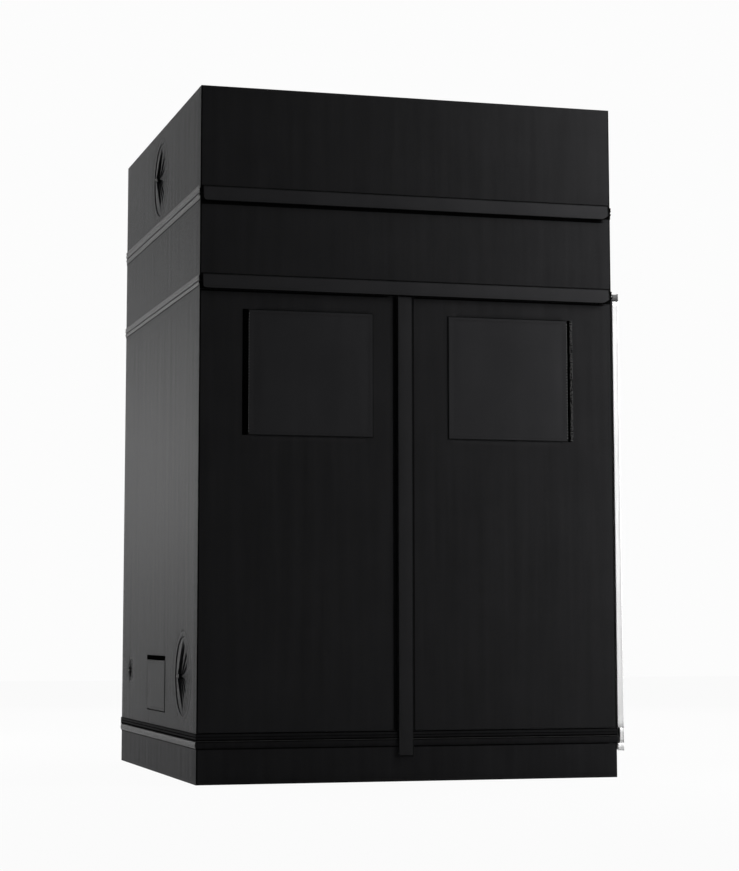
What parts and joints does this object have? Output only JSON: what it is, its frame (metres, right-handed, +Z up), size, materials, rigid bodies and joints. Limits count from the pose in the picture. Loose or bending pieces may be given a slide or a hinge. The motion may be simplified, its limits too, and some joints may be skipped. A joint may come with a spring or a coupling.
{
  "type": "indoor grow tent",
  "caption": "Square indoor grow tent: black canvas cabin with paired front doors, covered windows, pleated duct ports and a side door on a slip-fit steel frame.",
  "frame": {"origin": "on the ground, under the middle of the cabin's square footprint", "axes": "+Z up, -Y out of the front with its two doors, -X out of the left wall with its duct ports"},
  "size_m": [1.5629, 1.5314, 2.41],
  "materials": {
    "canvas": "matte",
    "flap_canvas": "matte",
    "zip": "matte",
    "mesh": "matte",
    "tray": "satin",
    "frame_tube": "satin",
    "corners": "satin",
    "pane": "gloss",
    "slider": "satin"
  },
  "bodies": {
    "tent": {"back_wall": "canvas", "base_corner_front_left": "corners", "base_corner_front_right": "corners", "base_corner_rear_left": "corners", "base_corner_rear_right": "corners", "base_rail_front": "frame_tube", "base_rail_left": "frame_tube", "base_rail_rear": "frame_tube", "base_rail_right": "frame_tube", "cable_port": "canvas", "cap_back": "canvas", "cap_front": "canvas", "cap_left": "canvas", "cap_right": "canvas", "duct_port_lower": "canvas", "duct_port_upper": "canvas", "extension_back": "canvas", "extension_front": "canvas", "extension_left": "canvas", "extension_post_front_left": "frame_tube", "extension_post_front_right": "frame_tube", "extension_post_rear_left": "frame_tube", "extension_post_rear_right": "frame_tube", "extension_right": "canvas", "floor_panel": "canvas", "left_wall": "canvas", "post_front_left": "frame_tube", "post_front_right": "frame_tube", "post_rear_left": "frame_tube", "post_rear_right": "frame_tube", "roof_panel": "canvas", "skirt_front": "canvas", "skirt_right": "canvas", "spill_tray": "tray", "top_corner_front_left": "corners", "top_corner_front_right": "corners", "top_corner_rear_left": "corners", "top_corner_rear_right": "corners", "top_rail_front": "frame_tube", "top_rail_left": "frame_tube", "top_rail_rear": "frame_tube", "top_rail_right": "frame_tube", "vent_mesh": "mesh", "zip_base": "zip", "zip_lower": "zip", "zip_upper": "zip"},
    "door_left": {"door_left": "canvas", "window_pane_left": "pane"},
    "door_right": {"door_right": "canvas", "window_pane_right": "pane"},
    "window_cover_left": {"window_cover_left": "flap_canvas"},
    "window_cover_right": {"window_cover_right": "flap_canvas"},
    "centre_flap": {"centre_flap": "flap_canvas"},
    "zip_slider": {"zip_slider": "slider"},
    "storm_flap_upper": {"storm_flap_upper": "flap_canvas"},
    "storm_flap_lower": {"storm_flap_lower": "flap_canvas"},
    "vent_cover": {"vent_cover": "flap_canvas"},
    "side_door": {"side_door": "canvas"},
    "hanging_bar_left": {"hanging_bar_left": "frame_tube"},
    "hanging_bar_right": {"hanging_bar_right": "frame_tube"}
  },
  "joints": [
    {"name": "door_left_hinge", "type": "hinge", "parent": "tent", "child": "door_left", "pos_m": [-0.7597, -0.76, 0.9], "axis": [0, 0, 1], "range_deg": [-170, 0]},
    {"name": "door_right_hinge", "type": "hinge", "parent": "tent", "child": "door_right", "pos_m": [0.7597, -0.76, 0.9], "axis": [0, 0, 1], "range_deg": [0, 170]},
    {"name": "window_cover_left_hinge", "type": "hinge", "parent": "door_left", "child": "window_cover_left", "pos_m": [-0.1375, -0.7618, 1.4], "axis": [0, 0, 1], "range_deg": [0, 165]},
    {"name": "window_cover_right_hinge", "type": "hinge", "parent": "door_right", "child": "window_cover_right", "pos_m": [0.1375, -0.7618, 1.4], "axis": [0, 0, 1], "range_deg": [-165, 0]},
    {"name": "centre_flap_hinge", "type": "hinge", "parent": "door_right", "child": "centre_flap", "pos_m": [0.0055, -0.7646, 0.9], "axis": [0, 0, 1], "range_deg": [0, 170]},
    {"name": "zip_slider_slide", "type": "slide", "parent": "door_right", "child": "zip_slider", "axis": [0, 0, 1], "range_m": [0, 1.455]},
    {"name": "storm_flap_upper_hinge", "type": "hinge", "parent": "tent", "child": "storm_flap_upper", "pos_m": [0, -0.7646, 2.053], "axis": [-1, 0, 0], "range_deg": [0, 165]},
    {"name": "storm_flap_lower_hinge", "type": "hinge", "parent": "tent", "child": "storm_flap_lower", "pos_m": [0, -0.7646, 1.745], "axis": [-1, 0, 0], "range_deg": [0, 165]},
    {"name": "vent_cover_hinge", "type": "hinge", "parent": "tent", "child": "vent_cover", "pos_m": [-0.7618, 0, 0.2255], "axis": [0, -1, 0], "range_deg": [0, 165]},
    {"name": "side_door_hinge", "type": "hinge", "parent": "tent", "child": "side_door", "pos_m": [0.7646, 0.757, 0.9], "axis": [0, 0, 1], "range_deg": [-0.85, 168]},
    {"name": "hanging_bar_left_slide", "type": "slide", "parent": "tent", "child": "hanging_bar_left", "axis": [1, 0, 0], "range_m": [-0.3, 0.35]},
    {"name": "hanging_bar_right_slide", "type": "slide", "parent": "tent", "child": "hanging_bar_right", "axis": [1, 0, 0], "range_m": [-0.35, 0.3]}
  ]
}
